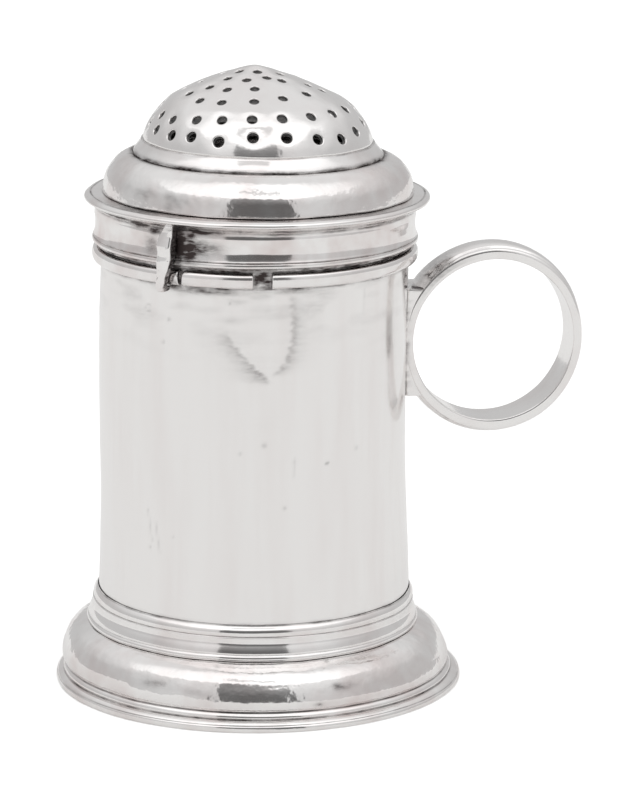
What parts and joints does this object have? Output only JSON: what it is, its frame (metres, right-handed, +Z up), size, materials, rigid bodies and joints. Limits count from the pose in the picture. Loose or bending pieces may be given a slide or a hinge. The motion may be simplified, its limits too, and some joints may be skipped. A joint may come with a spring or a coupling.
{
  "type": "sugar dredger",
  "caption": "Silver sugar dredger: straight drum on a spreading moulded foot, finger-ring handle, and a domed pierced cover that turns on a bayonet rail.",
  "frame": {"origin": "middle of the whole object's box, on the surface that the foot stands on; the drum's axis is at x = -9.5 mm", "axes": "+Z up along the drum's axis; +X from the drum towards the finger ring; the picture looks roughly along +Y"},
  "size_m": [0.078, 0.059, 0.09],
  "materials": {
    "drum_silver": "polished sterling silver with fine wear scratches and soft dents",
    "moulding_silver": "polished sterling silver mouldings with grey-brown tarnish in the creases",
    "rail_silver": "polished silver wire, tarnished along its solder joints",
    "handle_silver": "polished drawn silver strap, brightest along its edge beads",
    "cover_silver": "polished sterling silver with grey-brown tarnish in the creases",
    "dome_silver": "hand-hammered and polished silver, dished round each punched hole"
  },
  "bodies": {
    "dredger_body": {"body_drum": "drum_silver", "base_disc": "drum_silver", "foot_collar": "moulding_silver", "foot_ovolo": "moulding_silver", "foot_rim": "moulding_silver", "rail_front": "rail_silver", "rail_right": "rail_silver", "rail_left": "rail_silver", "handle_ring": "handle_silver", "upper_gusset": "handle_silver", "lower_gusset": "handle_silver"},
    "cover": {"cover_skirt": "cover_silver", "skirt_bead": "cover_silver", "cover_flange": "cover_silver", "cover_shoulder": "cover_silver", "dome_collet": "cover_silver", "pierced_dome": "dome_silver", "front_hook": "rail_silver", "rear_hook": "rail_silver"}
  },
  "joints": [
    {"name": "cover_turn", "type": "hinge", "parent": "dredger_body", "child": "cover", "pos_m": [-0.0095, 0, 0.067], "axis": [0, 0, 1], "range_deg": [-146.3, 33.7]}
  ]
}
